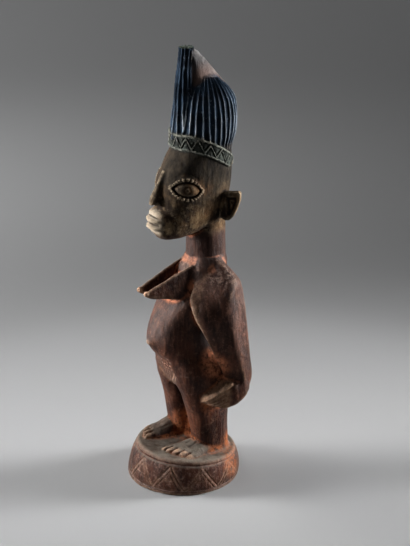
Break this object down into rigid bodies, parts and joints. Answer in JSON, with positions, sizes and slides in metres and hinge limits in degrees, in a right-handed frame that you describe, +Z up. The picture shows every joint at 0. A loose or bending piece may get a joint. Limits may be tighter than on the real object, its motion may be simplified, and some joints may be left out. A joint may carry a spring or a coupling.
{
  "type": "ibeji figure",
  "caption": "Carved wooden standing female figure with a tall ribbed coiffure, hands on her thighs, on a round carved plinth.",
  "frame": {"origin": "centre of the plinth's flat underside", "axes": "+Z up from the underside to the top of the coiffure, the figure faces -Y and its left side is +X"},
  "size_m": [0.0735, 0.0736, 0.2845],
  "materials": {
    "wood": "handled dark patina, semi-gloss, with red powder in the hollows and worn indigo on the coiffure"
  },
  "bodies": {
    "root": {"ibeji_figure": "wood"}
  },
  "joints": []
}
